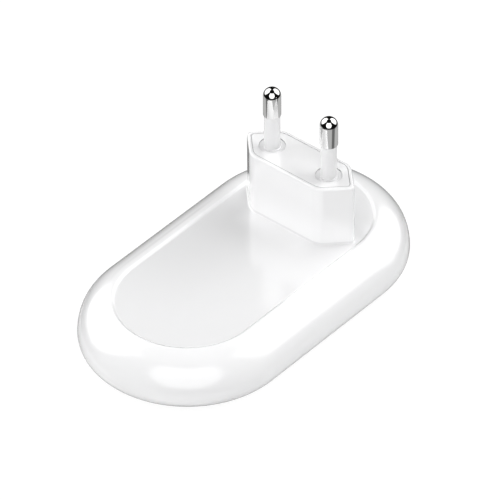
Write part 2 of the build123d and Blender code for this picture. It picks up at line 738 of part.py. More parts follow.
def main():
    """Build every sub-part and write it to its own file."""
    os.makedirs("parts", exist_ok=True)
    save("rear_housing", rear_housing())
    save("plug_cap", plug_cap())
    save("front_diffuser", front_diffuser())
    save("sensor_window", sensor_window())
    for side, hand in ((-1, "left"), (1, "right")):
        save(f"pin_{hand}", Pos(side * PIN_X, PLUG_Y, 0) * pin())
        save(f"pin_sleeve_{hand}", Pos(side * PIN_X, PLUG_Y, 0) * pin_sleeve())
    save("neutral_wire", wire(-1))
    save("live_wire", wire(1))
    save("solder_joints", solder_joints())
    save("led_board", led_board())
    save("leds", leds())
    save("led_phosphors", led_phosphors())
    save("board_screws", board_screws())
    save("light_sensor", light_sensor())
    save("sensor_tube", sensor_tube())
    save("dropper_capacitor", dropper_capacitor())
    save("smoothing_capacitor", smoothing_capacitor())
    save("fuse_resistor", fuse_resistor())
    save("bleed_resistor", bleed_resistor())
    save("varistor", varistor())
    save("bridge_rectifier", bridge_rectifier())
    save("driver_chip", driver_chip())
    save("board_resistors", board_resistors())


main()
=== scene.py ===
from math import acos, cos, degrees, pi, radians, sin, sqrt, tan

import bmesh
import bpy
from mathutils import Matrix, Vector


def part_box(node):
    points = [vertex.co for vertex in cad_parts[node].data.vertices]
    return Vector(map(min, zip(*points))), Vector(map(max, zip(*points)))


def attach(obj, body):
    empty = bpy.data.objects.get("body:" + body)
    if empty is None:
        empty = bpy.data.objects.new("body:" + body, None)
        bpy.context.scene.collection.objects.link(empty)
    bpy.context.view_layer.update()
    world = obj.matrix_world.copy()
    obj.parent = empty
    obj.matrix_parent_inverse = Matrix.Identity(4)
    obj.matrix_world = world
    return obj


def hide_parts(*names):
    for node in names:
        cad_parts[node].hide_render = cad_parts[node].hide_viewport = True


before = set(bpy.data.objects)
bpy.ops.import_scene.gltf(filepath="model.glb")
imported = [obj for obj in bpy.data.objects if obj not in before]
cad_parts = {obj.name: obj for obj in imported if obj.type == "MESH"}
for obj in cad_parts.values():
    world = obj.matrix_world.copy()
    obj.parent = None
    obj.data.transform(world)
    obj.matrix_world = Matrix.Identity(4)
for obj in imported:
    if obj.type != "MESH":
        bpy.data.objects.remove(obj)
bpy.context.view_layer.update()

bl_info = {
    "name": "Plug in night light",
    "version": (1, 0, 0),
    "blender": (4, 5, 0),
    "location": "3D View > Sidebar > Night light",
    "description": "Builds the look of a plug in night light round its solid model",
    "category": "Object",
}

# The lamp lies on its front face with the plug pins up. X runs along the line of the pins,
# Y along the body, and every length is in metres.

MM = 0.001
BODY = "root"
FRAME_PIXELS = 500
SENSOR_WIDTH = 36.0

SAME_PLACE = 1e-6            # points closer than this lie together
SAME_LENGTH = 1e-9
MERGE_DISTANCE = 0.0005 * MM
SMOOTH_ANGLE = 35            # degrees between faces that still shade smoothly
FLAT_FACE_WEIGHT = 60
POLE = 0.02 * MM             # first ring of a turned part, closed to a point later
BAND = 0.1 * MM              # half the upright band at the rim's widest line
COVER_SEAM = 0.1 * MM        # gap round the front cover
RIM_WALL = 3.4 * MM          # from the rim's widest line to the cavity
BODY_SEGMENTS = 96
PIN_SEGMENTS = 64
WINDOW_SEGMENTS = 48
POST_SEGMENTS = 32
CORNER_SEGMENTS = 8


# ---- sizes read from the solid model ----

HOUSING_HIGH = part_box("rear_housing")[1]
CAP_LOW, CAP_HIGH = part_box("plug_cap")
DIFFUSER_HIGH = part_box("front_diffuser")[1]
PIN_LOW, PIN_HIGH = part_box("pin_right")
RIM_RADIUS = HOUSING_HIGH.x
HALF_SPACING = HOUSING_HIGH.y - RIM_RADIUS
FACE_LEVEL = HOUSING_HIGH.z
PLUG_Y = (CAP_LOW.y + CAP_HIGH.y) / 2
PIN_X = (PIN_LOW.x + PIN_HIGH.x) / 2
PIN_TIP = PIN_HIGH.z
PIN_PLACES = {"left": (-PIN_X, PLUG_Y), "right": (PIN_X, PLUG_Y)}


def length(description, millimetres):
    """A length that a user can change, given in millimetres."""
    return measured(description, millimetres * MM)


def offset(description, millimetres):
    """A distance that may go either way, given in millimetres."""
    return bpy.props.FloatProperty(
        description=description, default=millimetres * MM, unit="LENGTH")


def measured(description, metres):
    """A length given in metres, such as one that comes from the solid model."""
    return bpy.props.FloatProperty(
        description=description, default=metres, min=0.0, unit="LENGTH", precision=5)


def amount(description, default):
    """A plain number, such as a brightness where 1 is white."""
    return bpy.props.FloatProperty(description=description, default=default, min=0.0)


def share(description, default):
    """A factor between nothing and all."""
    return bpy.props.FloatProperty(
        description=description, default=default, min=0.0, max=1.0, subtype="FACTOR")


def colour(description, default):
    """A surface colour."""
    return bpy.props.FloatVectorProperty(
        description=description, default=default, size=3, min=0.0, max=1.0,
        subtype="COLOR")


def angle(description, default_degrees):
    """An angle, given in degrees."""
    return bpy.props.FloatProperty(
        description=description, default=radians(default_degrees), subtype="ANGLE")


class BodySizes(bpy.types.PropertyGroup):
    """Sizes of the housing's body and the front cover."""
    rim_radius: measured("Widest line of the rim", RIM_RADIUS)
    half_spacing: measured("Middle of the body to a round end's centre", HALF_SPACING)
    plate_radius: length("Recessed back plate at its round ends", 18.7)
    plate_level: length("Back plate above the front face", 14.1)
    lip_width: length("Slope between plate and crest", 1.0)
    lip_height: length("Crest above the plate", 0.5)
    crest_run: length("Level stretch at the crest", 0.6)
    shoulder_drop: length("Fullness of the rim's shoulder", 1.7)
    widest_height: length("Widest line above the front face", 4.25)
    front_round: length("Rounding down to the front face", 6.3)
    seat_radius: measured("Opening that the front cover fills", DIFFUSER_HIGH.x + COVER_SEAM)
    seat_height: length("Ledge over the front cover's edge", 2.2)
    seat_gap: length("Between that ledge and the cover", 0.05)
    cover_edge: length("Start of the cover's rounding", 1.5)
    cavity_radius: measured("Inside of the rim's wall", RIM_RADIUS - RIM_WALL)
    plate_wall: length("Thickness of the back plate", 2.0)
    cover_wall: length("Thickness of the front cover", 1.8)
    skirt_wall: length("Thickness of the front cover's skirt", 1.2)
    bead_low: length("Start of the snap bead on the skirt", 3.6)
    bead_height: length("Height of the snap bead", 0.8)
    bead: length("How far the snap bead stands out", 0.35)
    post_radius: length("Posts that carry the lamp board", 3.0)
    post_from_middle: length("Post centre from the middle of its arc", 17.3)
    screw_radius: length("Screw hole in a post", 1.1)
    screw_depth: length("Depth of that hole", 4.4)
    fit_gap: length("Gap between skirt and housing", 0.15)
    window_radius: length("Hole for the sensor window", 2.5)


class PlugSizes(bpy.types.PropertyGroup):
    """Sizes of the plug block and the cap in its end."""
    half_width: length("Middle of the block to its long face", 6.85)
    point: length("Middle of the block to the corner of its end", 18.2)
    point_round: length("Rounding of the end corners", 1.0)
    shoulder_round: length("Rounding of the blunt corners", 4.5)
    top_round: length("Rounding of the block's top edge", 0.6)
    foot_round: length("Hollow rounding at the block's foot", 0.5)
    wall: length("Thickness of the block's wall", 1.95)
    cap_inset: length("Edge of the cap inside the block's outline", 1.08)
    cap_seam: length("Gap round the cap", 0.1)
    cap_point_round: length("Rounding of the cap's end corners", 0.9)
    cap_shoulder_round: length("Rounding of its blunt corners", 3.5)
    cap_edge: length("Rounding of the cap's edge", 0.12)
    pocket_radius: length("Ring sunk round each sleeve", 3.45)
    pocket_depth: length("Depth of that ring", 0.35)
    pocket_edge: length("Rounding of the ring's edge", 0.15)
    # Painted shade on the cap's walls in the gap round it, in the sunk rings and in the bores.
    painted_seam_shade: share("Grime and shade in the gap round the cap", 0.6)


class PinSizes(bpy.types.PropertyGroup):
    """Sizes of the pins and their sleeves."""
    radius: length("Bare metal end", 2.375)
    metal_length: length("Bare metal with its dome", 8.5)
    metal_edge: length("Rounding where the bare metal starts", 0.18)
    shank_radius: length("Pin inside its sleeve", 1.6)
    collar_radius: length("Collar under the cap", 2.9)
    collar_thickness: length("Collar under the cap", 1.2)
    tail_width: length("Flat tail below the collar", 2.6)
    tail_thickness: length("Flat tail below the collar", 1.2)
    tail_edge: length("Rounding of the tail's edges", 0.15)
    sleeve_radius: length("Outside of the sleeve", 2.125)
    sleeve_edge: length("Rounding of the sleeve's top", 0.12)
    foot_radius: length("Flared foot of the sleeve", 2.5)
    foot_height: length("Straight edge of the foot", 0.2)
    flare_height: length("Height of the foot's flare", 0.375)


class Finishes(bpy.types.PropertyGroup):
    """Colours of the surfaces."""
    housing: colour("Glossy white plastic", (0.83, 0.83, 0.835))
    cap: colour("White plastic of the plug cap", (0.85, 0.85, 0.855))
    sleeve: colour("White plastic of the sleeves", (0.77, 0.77, 0.775))
    cover: colour("Milky plastic of the front cover", (0.86, 0.86, 0.84))
    pin: colour("Nickel plate", (0.88, 0.88, 0.875))
    board: colour("Solder mask", (0.80, 0.80, 0.77))


class StageSizes(bpy.types.PropertyGroup):
    """Camera, floor and lights."""
    azimuth: angle("Camera round the lamp", 40.591)
    elevation: angle("Camera above the floor", 39.731)
    roll: angle("Camera about its own axis", -0.409)
    distance: length("Camera to the plug", 1518.58)
    focal_pixels: amount("In pixels of the frame", 5846.30)
    aim_right: offset("Camera moved to its right", -13.092)
    aim_up: offset("Camera moved up its own axis", -9.188)
    aim_y: measured("Aimed point along the body", PLUG_Y)
    floor_half: length("Half the floor's width", 3000.0)
    floor_colour: colour("Pale floor", (0.74, 0.74, 0.74))
    floor_white: share("How far the floor shows as plain white", 0.85)
    floor_lift: amount("Brightness of that white", 1.09)
    panel_azimuth: angle("Middle of one of the three panels", 38.0)
    panel_half_width: angle("Middle of a panel to its side", 40.0)
    panel_low: angle("Lower edge of the panels", 0.0)
    panel_high: angle("Upper edge of the panels", 62.0)
    panel_strength: amount("Brightness of the panels", 1.77)
    room: amount("Brightness between the panels and overhead", 0.004)
    floor_edge: angle("Where the floor starts to show in gloss", -22.0)
    floor_panel: amount("Brightness below the panels", 0.5)
    floor_gap: amount("Brightness below the gaps", 0.15)
    panel_softness: share("Soft lower edge of the panels", 0.12)
    panel_corner: amount("How round the panels look in gloss", 0.23)
    fill: amount("Soft fill from above that gloss does not show", 0.15)
    fill_low: angle("Lower edge of the fill", 50.0)
    key: amount("More soft light, from above one of the panels", 2.3)
    key_low: angle("Lower edge of that light", 38.0)
    key_high: angle("Upper edge of that light", 72.0)
    key_azimuth: angle("Middle of that light", 158.0)
    side: amount("Soft light on the long face of the plug", 0.62)
    side_azimuth: angle("Middle of that light", -20.0)
    front_cut: amount("Less soft light from the front panel", 0.36)
    back_cut: amount("Less soft light from the two other panels, low down", 0.25)


GROUPS = {
    "lamp_body": BodySizes,
    "lamp_plug": PlugSizes,
    "lamp_pins": PinSizes,
    "lamp_finishes": Finishes,
    "lamp_stage": StageSizes,
}


# ---- modelling in edit mode ----

def clear_selection():
    """Nothing is selected or active when the next piece starts."""
    if bpy.context.object and bpy.context.object.mode != "OBJECT":
        bpy.ops.object.mode_set(mode="OBJECT")
    bpy.ops.object.select_all(action="DESELECT")


def start_piece(name, radius, segments, centre, fill="NGON"):
    """A flat round face, or ring, that the operators then shape into the piece."""
    clear_selection()
    bpy.ops.mesh.primitive_circle_add(
        vertices=segments, radius=radius, fill_type=fill, location=centre)
    piece = bpy.context.object
    piece.name = name
    piece.data.name = name
    bpy.ops.object.transform_apply(location=True, rotation=True, scale=True)
    bpy.ops.object.mode_set(mode="EDIT")
    bpy.ops.mesh.select_mode(type="EDGE")
    bpy.ops.mesh.select_all(action="SELECT")
    return piece


def add_ring(radius, segments, centre, fill="NOTHING"):
    """A selected round loop of edges, or a round face, in the open piece."""
    bpy.ops.mesh.select_mode(type="EDGE")
    bpy.ops.mesh.select_all(action="DESELECT")
    bpy.ops.mesh.primitive_circle_add(
        vertices=segments, radius=radius, fill_type=fill, location=centre)


def edit_mesh():
    """The mesh of the piece in edit mode."""
    return bmesh.from_edit_mesh(bpy.context.object.data)


def pick(kind, test):
    """Select the vertices, edges or faces that pass a test, and nothing else."""
    bpy.ops.mesh.select_all(action="DESELECT")
    bpy.ops.mesh.select_mode(type=kind)
    mesh = edit_mesh()
    for item in {"VERT": mesh.verts, "EDGE": mesh.edges, "FACE": mesh.faces}[kind]:
        if test(item):
            item.select = True
    mesh.select_flush_mode()
    bmesh.update_edit_mesh(bpy.context.object.data)


def same(first, second):
    """Whether two coordinates are the same."""
    return abs(first - second) < SAME_PLACE


def is_level(edge_or_face, level):
    """Whether all corners lie at one height."""
    return all(same(vertex.co.z, level) for vertex in edge_or_face.verts)


def extrude_up(height):
    """Extrude the selection straight up."""
    bpy.ops.mesh.extrude_region_move(TRANSFORM_OT_translate={"value": (0, 0, height)})


def raise_face(height):
    """Extrude the piece's one flat face straight up."""
    pick("FACE", lambda face: True)
    extrude_up(height)


def step(across, along):
    """Draw the selected face in by one distance, and move it along its normal."""
    if across > SAME_LENGTH:
        bpy.ops.mesh.inset(thickness=across, depth=along, use_even_offset=True)
    else:
        bpy.ops.mesh.extrude_region_shrink_fatten(
            TRANSFORM_OT_shrink_fatten={"value": along})


def swell(factor, half_spacing):
    """Scale the round ends of the selected face about their own centres."""
    corners = {v.index for v in edit_mesh().verts if v.select}
    level = next(v.co.z for v in edit_mesh().verts if v.select)
    for side in (-1, 1):
        pick("VERT", lambda v: v.index in corners and v.co.y * side > 0)
        bpy.ops.transform.resize(
            value=(factor, factor, 1), center_override=(0, side * half_spacing, level))
    pick("FACE", lambda face: all(v.index in corners for v in face.verts))


def follow(profile, facing):
    """Take the selected face along (radius, height) points.

    facing is 1 for a face that looks up and -1 for one that looks down.
    """
    half_spacing = bpy.context.scene.lamp_body.half_spacing
    for (radius, height), (next_radius, next_height) in zip(profile, profile[1:]):
        step(max(0, radius - next_radius), (next_height - height) * facing)
        if next_radius > radius + SAME_LENGTH:
            swell(next_radius / radius, half_spacing)


def turn(profile, centre):
    """Take the selected ring along (radius, height) points about an upright axis."""
    for (radius, height), (next_radius, next_height) in zip(profile, profile[1:]):
        extrude_up(next_height - height)
        factor = next_radius / radius
        bpy.ops.transform.resize(
            value=(factor, factor, 1),
            center_override=(centre[0], centre[1], next_height))


def stretch_ends(half_spacing):
    """Part a round face across the middle, and draw its halves apart to round ends."""
    split = 0.001 * MM
    pick("VERT", lambda vertex: abs(vertex.co.y) < split)
    bpy.ops.mesh.bevel(affect="VERTICES", offset=split, segments=1)
    for side in (-1, 1):
        pick("VERT", lambda vertex: vertex.co.y * side > 0)
        bpy.ops.transform.translate(value=(0, side * (half_spacing - split), 0))


def pick_level_faces(level, normal_z):
    """Select the faces at one height that look up or down."""
    pick("FACE", lambda face: is_level(face, level) and face.normal.z * normal_z > 0.9)


def pick_underside(level):
    """Select the flat underside, and turn it to look down if it looks up."""
    pick_level_faces(level, -1)
    if not any(face.select for face in edit_mesh().faces):
        pick_level_faces(level, 1)
        bpy.ops.mesh.flip_normals()


def open_face():
    """Delete the selected face and leave its edges."""
    bpy.ops.mesh.delete(type="ONLY_FACE")


def fill_between(level):
    """Close the flat area between the open loops at one height."""
    pick("EDGE", lambda edge: edge.is_boundary and is_level(edge, level))
    bpy.ops.mesh.fill(use_beauty=True)


def bezier(start, first, second, end, count):
    """Points of a cubic curve, without its start."""
    shares = [(1 - index / count, index / count) for index in range(1, count + 1)]
    return [tuple(s ** 3 * a + 3 * s * s * t * b + 3 * s * t * t * c + t ** 3 * d
                  for a, b, c, d in zip(start, first, second, end)) for s, t in shares]


def arc(centre, reach, rise, start, end, count):
    """Points along an ellipse between two angles in degrees, without its start."""
    headings = [radians(start + (end - start) * index / count)
                for index in range(1, count + 1)]
    return [(centre[0] + reach * cos(heading), centre[1] + rise * sin(heading))
            for heading in headings]


def pointed_face(inset, point_round, shoulder_round, level, new_piece=None):
    """The plug's six-cornered outline as one rounded face, alone or in the open piece."""
    plug = bpy.context.scene.lamp_plug
    half_width = plug.half_width - inset
    point = plug.point - inset * sqrt(2)
    shoulder = point - half_width
    centre = (0, PLUG_Y, level)
    if new_piece:
        piece = start_piece(new_piece, point, 6, centre)
    else:
        piece = bpy.context.object
        add_ring(point, 6, centre, fill="NGON")
    corners = {v.index for v in edit_mesh().verts if v.select}
    # The hexagon's first corner points along +Y, and a quarter turn puts it on X.
    bpy.ops.transform.rotate(value=pi / 2, orient_axis="Z", center_override=centre)
    bpy.ops.transform.resize(
        value=(1, half_width / (point * sqrt(3) / 2), 1), center_override=centre)
    pick("VERT", lambda v: v.index in corners and abs(v.co.x) < 0.9 * point)
    bpy.ops.transform.resize(
        value=(shoulder / (point / 2), 1, 1), center_override=centre)
    bpy.ops.mesh.bevel(affect="VERTICES", offset=shoulder_round * tan(pi / 8),
                       segments=CORNER_SEGMENTS, profile=0.5)
    pick("VERT", lambda v: same(v.co.z, level) and same(abs(v.co.x), point)
         and same(v.co.y, PLUG_Y))
    bpy.ops.mesh.bevel(affect="VERTICES", offset=point_round, segments=CORNER_SEGMENTS,
                       profile=0.5)
    return piece


def close_pole(level, centre):
    """Close the small ring at the pole of a turned part to one point."""
    pick("VERT", lambda v: same(v.co.z, level)
         and Vector((v.co.x - centre[0], v.co.y - centre[1])).length < 2 * POLE)
    bpy.ops.mesh.merge(type="CENTER")


def finish_piece(piece, node, finish, weighted=True):
    """Smooth, seat and dress a piece that stands for one node of the model."""
    bpy.ops.mesh.select_all(action="SELECT")
    bpy.ops.mesh.remove_doubles(threshold=MERGE_DISTANCE)
    bpy.ops.mesh.normals_make_consistent(inside=False)
    bpy.ops.object.mode_set(mode="OBJECT")
    bpy.ops.object.shade_smooth_by_angle(angle=radians(SMOOTH_ANGLE), keep_sharp_edges=True)
    if weighted:
        modifier = piece.modifiers.new("flat faces", "WEIGHTED_NORMAL")
        modifier.keep_sharp = True
        modifier.weight = FLAT_FACE_WEIGHT
        bpy.ops.object.modifier_apply(modifier=modifier.name)
    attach(piece, BODY)
    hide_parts(node)
    dress(piece, finish)


# ---- shader maths ----

class Reading:
    """A value in a shader. Arithmetic on it adds Math nodes."""

    def __init__(self, shader, socket):
        self.shader = shader
        self.socket = socket

    def _math(self, operation, first, second=None):
        return self.shader.node(
            "ShaderNodeMath", {"operation": operation}, {0: first, 1: second})[0]

    def __add__(self, other):
        return self._math("ADD", self, other)

    __radd__ = __add__

    def __sub__(self, other):
        return self._math("SUBTRACT", self, other)

    def __rsub__(self, other):
        return self._math("SUBTRACT", other, self)

    def __mul__(self, other):
        return self._math("MULTIPLY", self, other)

    def __pow__(self, other):
        return self._math("POWER", self, other)

    def above(self, level, width):
        """A soft step from 0 to 1 round a level."""
        return self.shader.node(
            "ShaderNodeMapRange", {"interpolation_type": "SMOOTHSTEP"},
            {"Value": self, "From Min": level - width, "From Max": level + width})[0]

    def within(self, low, low_width, high, high_width):
        """1 between two levels, with a soft step to 0 at each."""
        return self.above(low, low_width) * (1 - self.above(high, high_width))

    def cosine(self):
        """The cosine of an angle."""
        return self._math("COSINE", self)


class Shader:
    """The nodes of a material or of the world."""

    def __init__(self, owner, output_kind):
        owner.use_nodes = True
        self.owner = owner
        self.tree = owner.node_tree
        self.tree.nodes.clear()
        self.output = self.tree.nodes.new(output_kind)

    def show(self, shader):
        """Show a shader as the surface."""
        self.tree.links.new(shader.socket, self.output.inputs["Surface"])

    def put(self, socket, value):
        """Link a reading to an input, or set the input's own value."""
        if isinstance(value, Reading):
            self.tree.links.new(value.socket, socket)
        elif value is not None:
            socket.default_value = value

    def node(self, kind, settings, inputs):
        """Add a node: its settings first, then its inputs. Its outputs come back."""
        made = self.tree.nodes.new(kind)
        for name, value in settings.items():
            setattr(made, name, value)
        for name, value in inputs.items():
            self.put(made.inputs[name], value)
        return [Reading(self, socket) for socket in made.outputs if socket.enabled]

    def coordinates(self, kind="Object"):
        """Texture coordinates, in metres for the object's own."""
        made = self.tree.nodes.new("ShaderNodeTexCoord")
        return Reading(self, made.outputs[kind])

    def axes(self, kind="Object"):
        """The three coordinates, each as its own reading."""
        return self.node("ShaderNodeSeparateXYZ", {}, {0: self.coordinates(kind)})

    def either(self, *rays):
        """1 for the named kinds of ray, and 0 for the rest."""
        path = self.tree.nodes.new("ShaderNodeLightPath")
        found = Reading(self, path.outputs[rays[0]])
        for ray in rays[1:]:
            found = self.node("ShaderNodeMath", {"operation": "MAXIMUM"}, {
                0: found, 1: Reading(self, path.outputs[ray])})[0]
        return found


class Finish(Shader):
    """A surface material with its main shader."""

    def __init__(self, name, **constants):
        super().__init__(bpy.data.materials.new(name), "ShaderNodeOutputMaterial")
        self.surface = self.tree.nodes.new("ShaderNodeBsdfPrincipled")
        self.show(Reading(self, self.surface.outputs[0]))
        for socket, value in constants.items():
            self.surface.inputs[socket.replace("_", " ")].default_value = value

    def feed(self, socket, value):
        """Give the main shader a value that changes over the surface."""
        self.put(self.surface.inputs[socket], value)

    def noise(self, size, detail=2.0, scale=(1, 1, 1)):
        """Soft noise whose features are about as large as size, in metres."""
        place = self.node("ShaderNodeMapping", {}, {
            "Vector": self.coordinates(), "Scale": scale})[0]
        return self.node("ShaderNodeTexNoise", {}, {
            "Vector": place, "Scale": 1 / size, "Detail": detail})[0]

    def blend(self, factor, first, second):
        """Mix two colours, given as numbers or as readings."""
        made = self.tree.nodes.new("ShaderNodeMix")
        made.data_type = "RGBA"
        self.put(made.inputs[0], factor)
        for place, value in ((6, first), (7, second)):
            self.put(made.inputs[place], value if isinstance(value, Reading) else (*value, 1))
        return Reading(self, made.outputs[2])

    def mottle(self, factor, base, low, high):
        """Colour the surface from one tint of its colour to another."""
        self.feed("Base Color", self.blend(factor, tinted(base, low), tinted(base, high)))

    def bump(self, height, depth):
        """Raise the surface by a height between 0 and 1, as deep as depth in metres."""
        self.feed("Normal", self.node("ShaderNodeBump", {}, {
            "Height": height, "Distance": depth})[0])


def tinted(base, factor):
    """A colour made darker or lighter."""
    return tuple(min(1.0, part * factor) for part in base)


def dress(target, finish):
    """Give an object one material."""
    target.data.materials.clear()
    target.data.materials.append(finish.owner)


def gloss_plastic(name, coat_roughness):
    """Moulded plastic under a clear gloss."""
    return Finish(name, IOR=1.5, Coat_Weight=1.0, Coat_IOR=1.5,
                  Coat_Roughness=coat_roughness)


# Where painted shadow and painted light shift the housing's tone a little. A range is its
# start and end, each with how soft.
PLATE_REACH = 0.15 * MM
LEVEL_SOFTNESS = 0.1 * MM
BLOCK_START = 0.7 * MM
FOOT_FADE = 6 * MM
PAINTED_SHADOW_ACROSS = (-4 * MM, 14 * MM)
PAINTED_SHADOW_ALONG = (-22 * MM, 18 * MM, 11 * MM, 6 * MM)
PAINTED_LIGHT_ACROSS = (-11 * MM, 3 * MM, 10 * MM, 3 * MM)
PAINTED_LIGHT_ALONG = (11.5 * MM, 4 * MM, 18 * MM, 3 * MM)


def housing_finish():
    """Glossy moulded plastic: faint flow in the gloss, and a slightly duller back plate.

    The plate carries a painted shadow of the block along one side, and plate and block carry
    painted light, a paler colour, where they meet.
    """
    base = bpy.context.scene.lamp_finishes.housing
    plate = bpy.context.scene.lamp_body.plate_level
    finish = gloss_plastic("housing white gloss", 0.12)
    flow = finish.noise(9 * MM)
    peel = finish.noise(1.6 * MM, detail=1.0)
    grain = finish.noise(0.22 * MM)
    across, along, height = finish.axes()
    on_plate = height.within(plate - PLATE_REACH, LEVEL_SOFTNESS,
                             plate + PLATE_REACH, LEVEL_SOFTNESS)
    on_block = height.above(plate + BLOCK_START, LEVEL_SOFTNESS)
    # Painted shadow: the block's shadow on the plate, a darker tint along one side of the
    # block.
    painted_shadow = on_plate * (1 - across.above(*PAINTED_SHADOW_ACROSS)) * along.within(*PAINTED_SHADOW_ALONG)
    # Painted light: the block paler near its foot, and the plate paler just in front of the
    # block.
    painted_light = (on_block * (1 - height.above(plate + FOOT_FADE, FOOT_FADE))
            + on_plate * across.within(*PAINTED_LIGHT_ACROSS) * along.within(*PAINTED_LIGHT_ALONG))
    flow_and_painted_shadow = finish.blend(flow, tinted(base, 0.99), tinted(base, 1.01))
    flow_and_painted_shadow = finish.blend(painted_shadow, flow_and_painted_shadow, tinted(base, 0.9))
    finish.feed("Base Color", finish.blend(painted_light, flow_and_painted_shadow, tinted(base, 1.14)))
    finish.feed("Roughness", 0.10 + flow * 0.04 + grain * 0.03 + on_plate * 0.04)
    finish.bump(peel * 0.6 + grain * (0.1 + on_plate * 0.3), 0.003 * MM)
    return finish


def cap_finish():
    """The cap's plastic, smoother than the housing, with painted shade on the walls of its
    gap, its sunk rings and its bores.
    """
    base = bpy.context.scene.lamp_finishes.cap
    plug = bpy.context.scene.lamp_plug
    finish = gloss_plastic("cap white gloss", 0.03)
    flow = finish.noise(5 * MM)
    grain = finish.noise(0.3 * MM)
    height = finish.axes()[2]
    soft = 0.01 * MM
    ring_floor = FACE_LEVEL - plug.pocket_depth
    floors = height.within(ring_floor - 2 * soft, soft, ring_floor + 2 * soft, soft)
    walls = (1 - height.above(FACE_LEVEL - 3 * soft, soft)) * (1 - floors)
    face = finish.blend(flow, tinted(base, 0.985), tinted(base, 1.01))
    # Painted shade: the side walls, the ring sides and the bores are blended toward black,
    # while the ring floors stay light.
    finish.feed("Base Color", finish.blend(walls * plug.painted_seam_shade, face, (0, 0, 0)))
    finish.feed("Roughness", 0.06 + flow * 0.04 + grain * 0.02 + walls * 0.3)
    finish.bump(flow * 0.5 + grain * 0.2, 0.003 * MM)
    return finish


def sleeve_finish():
    """Satin nylon with faint draw marks along the sleeve."""
    finish = Finish("sleeve satin nylon", IOR=1.53)
    draw = finish.noise(0.5 * MM, detail=3.0, scale=(1, 1, 0.06))
    grain = finish.noise(0.15 * MM)
    finish.mottle(draw, bpy.context.scene.lamp_finishes.sleeve, 0.99, 1.01)
    finish.feed("Roughness", 0.20 + draw * 0.06 + grain * 0.03)
    finish.bump(draw * 0.3 + grain * 0.3, 0.002 * MM)
    return finish


def pin_finish():
    """Bright nickel plate with fine draw lines and faint rubbing from sockets."""
    finish = Finish("pin bright nickel", Metallic=1.0)
    draw = finish.noise(0.35 * MM, detail=4.0, scale=(1, 1, 0.04))
    rub = finish.noise(2.2 * MM, detail=5.0)
    finish.mottle(draw, bpy.context.scene.lamp_finishes.pin, 0.94, 1.03)
    finish.feed("Roughness", 0.03 + draw * 0.04 + rub * 0.03)
    finish.bump(draw, 0.0015 * MM)
    return finish


def cover_finish():
    """Milky plastic with a fine frosted grain."""
    finish = Finish("cover milky frost", IOR=1.49, Subsurface_Weight=0.15,
                    Subsurface_Scale=2 * MM)
    flow = finish.noise(12 * MM)
    frost = finish.noise(0.12 * MM, detail=3.0)
    finish.mottle(flow, bpy.context.scene.lamp_finishes.cover, 0.985, 1.01)
    finish.feed("Roughness", 0.34 + frost * 0.12)
    finish.bump(frost, 0.006 * MM)
    return finish


def moulded_finish(name, base, roughness, grain_size, **constants):
    """A plain inner part: its colour, a grain of its own size and a broken gloss."""
    finish = Finish(name, **constants)
    grain = finish.noise(grain_size, detail=3.0)
    finish.mottle(grain, base, 0.88, 1.06)
    finish.feed("Roughness", roughness + grain * 0.12)
    finish.bump(grain, grain_size * 0.03)
    return finish


def board_finish():
    """Pale solder mask over straight copper tracks."""
    finish = Finish("board solder mask", IOR=1.5)
    weave = finish.noise(0.4 * MM)
    tracks = finish.node("ShaderNodeTexWave", {"wave_type": "BANDS", "bands_direction": "X"}, {
        "Vector": finish.coordinates(), "Scale": 90.0, "Distortion": 1.5, "Detail": 1.0})[1]
    line = tracks.above(0.72, 0.03)
    finish.mottle(line, bpy.context.scene.lamp_finishes.board, 1.0, 0.93)
    finish.feed("Roughness", 0.30 + weave * 0.1)
    finish.bump(line * 0.7 + weave * 0.3, 0.02 * MM)
    return finish


# ---- pieces ----

